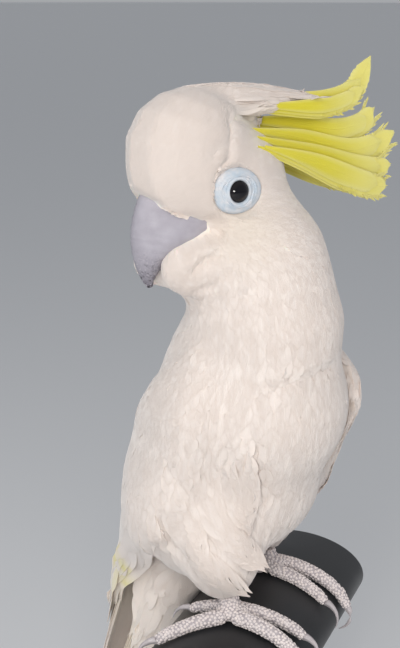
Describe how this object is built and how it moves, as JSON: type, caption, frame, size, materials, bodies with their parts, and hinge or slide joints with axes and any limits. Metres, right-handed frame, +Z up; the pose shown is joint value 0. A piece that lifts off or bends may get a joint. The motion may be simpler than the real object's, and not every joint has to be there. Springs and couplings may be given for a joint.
{
  "type": "cockatoo",
  "caption": "Life-size white cockatoo with a swept yellow crest, its head turned to its right, gripping a short oval bar that is held by a plain round display stand.",
  "frame": {"origin": "the middle of the underside of the stand's base, on the ground", "axes": "+Z is up; the bird's breast faces -Y; +X is the bird's left. Its head is turned far round to its right, so it looks towards -X."},
  "size_m": [0.196, 0.2096, 0.4634],
  "materials": {
    "plumage": "soft warm white feathers",
    "flight_feather": "white vanes, washed with yellow on the inner webs",
    "crest": "yellow vanes, paler at the tips",
    "bill": "grey horn, powdered, darker and flecked at the tip",
    "eye": "wet gloss",
    "eye_ring": "pale blue bare skin",
    "foot": "grey scales dusted with white powder",
    "claw": "dark grey horn",
    "perch": "black, half matt",
    "rod": "satin steel",
    "base": "dark oiled wood"
  },
  "bodies": {
    "root": {"head": "plumage", "crown": "plumage", "neck": "plumage", "breast": "plumage", "belly": "plumage", "undertail": "plumage", "bill_upper": "bill", "bill_lower": "bill", "eye_left": "eye", "eye_ring_left": "eye_ring", "eye_right": "eye", "eye_ring_right": "eye_ring", "crest_front": "crest", "crest_second": "crest", "crest_third": "crest", "crest_left_high": "crest", "crest_left_middle": "crest", "crest_left_low": "crest", "crest_right_high": "crest", "crest_right_low": "crest", "wing_primaries_left": "flight_feather", "wing_upper_left": "plumage", "thigh_left": "plumage", "foot_left": "foot", "toe_inner_front_left": "foot", "claw_inner_front_left": "claw", "toe_outer_front_left": "foot", "claw_outer_front_left": "claw", "toe_outer_back_left": "foot", "claw_outer_back_left": "claw", "toe_inner_back_left": "foot", "claw_inner_back_left": "claw", "wing_primaries_right": "flight_feather", "wing_upper_right": "plumage", "thigh_right": "plumage", "foot_right": "foot", "toe_inner_front_right": "foot", "claw_inner_front_right": "claw", "toe_outer_front_right": "foot", "claw_outer_front_right": "claw", "toe_outer_back_right": "foot", "claw_outer_back_right": "claw", "toe_inner_back_right": "foot", "claw_inner_back_right": "claw", "tail_feather_1": "flight_feather", "tail_feather_2": "flight_feather", "tail_feather_3": "flight_feather", "tail_feather_4": "flight_feather", "tail_feather_5": "flight_feather", "tail_feather_6": "flight_feather", "stand_perch": "perch", "stand_rod_left": "rod", "stand_rod_right": "rod", "stand_base": "base"}
  },
  "joints": []
}
